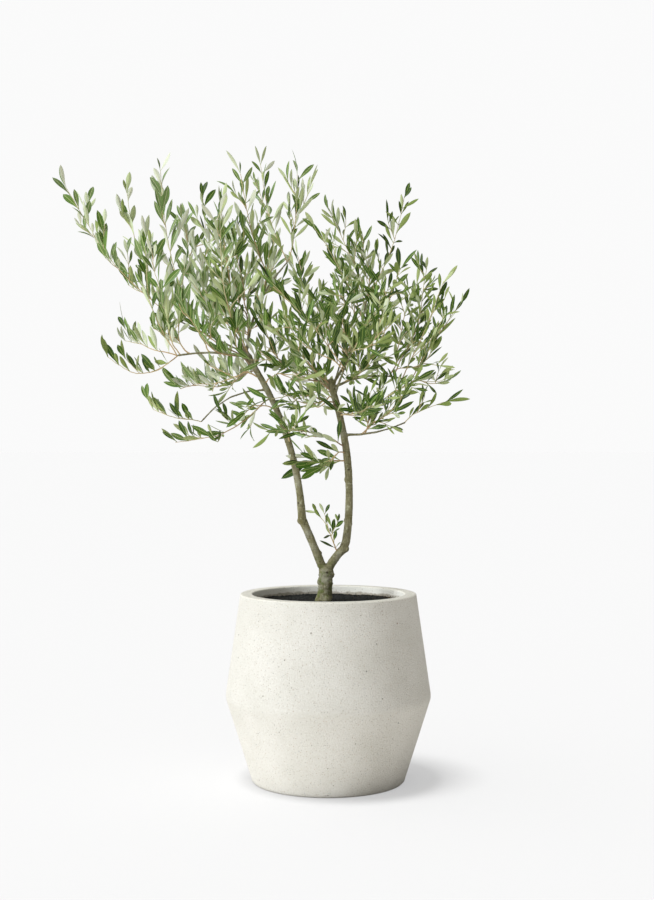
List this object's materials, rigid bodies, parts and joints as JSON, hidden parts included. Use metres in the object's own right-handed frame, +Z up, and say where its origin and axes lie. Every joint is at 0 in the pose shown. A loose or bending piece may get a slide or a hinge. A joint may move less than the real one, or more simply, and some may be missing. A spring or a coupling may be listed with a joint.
{
  "type": "potted olive tree",
  "caption": "Young olive tree with forked, leaning stems and a wide, airy grey-green crown, growing in a round pale cast planter with a soft crease round its middle.",
  "frame": {"origin": "centre of the pot's flat underside, on the surface it stands on", "axes": "+Z up along the pot's axis; -X towards the long side of the crown, +X towards its short side; +Y towards the back, so the usual front view looks along +Y"},
  "size_m": [0.7678, 0.4998, 1.1925],
  "materials": {
    "pot": "matte",
    "soil": "matte",
    "bark": "matte",
    "foliage": "satin"
  },
  "bodies": {
    "root": {"pot": "pot", "soil": "soil", "trunk": "bark", "foliage_back_left": "foliage", "foliage_back_low": "foliage", "foliage_back_mid": "foliage", "foliage_back_right": "foliage", "foliage_centre": "foliage", "foliage_centre_front": "foliage", "foliage_centre_low": "foliage", "foliage_centre_twig": "foliage", "foliage_far_left": "foliage", "foliage_front_left": "foliage", "foliage_front_low": "foliage", "foliage_front_mid": "foliage", "foliage_front_right": "foliage", "foliage_left_back": "foliage", "foliage_left_column": "foliage", "foliage_left_inner": "foliage", "foliage_left_low": "foliage", "foliage_left_outer": "foliage", "foliage_left_shoot": "foliage", "foliage_lone_shoot": "foliage", "foliage_low_left": "foliage", "foliage_low_right_a": "foliage", "foliage_low_right_b": "foliage", "foliage_mid_back": "foliage", "foliage_mid_front": "foliage", "foliage_mid_shoot_a": "foliage", "foliage_mid_shoot_b": "foliage", "foliage_right_back": "foliage", "foliage_right_edge": "foliage", "foliage_right_inner": "foliage", "foliage_right_low": "foliage", "foliage_right_middle": "foliage", "foliage_right_outer": "foliage", "foliage_right_tip_a": "foliage", "foliage_right_tip_b": "foliage", "foliage_sprout": "foliage", "foliage_top_a": "foliage", "foliage_top_b": "foliage", "foliage_top_c": "foliage", "foliage_twig_a": "foliage", "foliage_twig_b": "foliage", "foliage_twig_c": "foliage", "foliage_upper_left": "foliage", "left_back_bough": "bark", "left_bough": "bark", "left_leader": "bark", "left_stem_lower": "bark", "left_stem_upper": "bark", "left_upper_bough": "bark", "low_left_bough": "bark", "right_back_bough": "bark", "right_bough": "bark", "right_front_bough": "bark", "right_leader": "bark", "right_low_bough": "bark", "right_stem_lower": "bark", "right_stem_upper": "bark"}
  },
  "joints": []
}
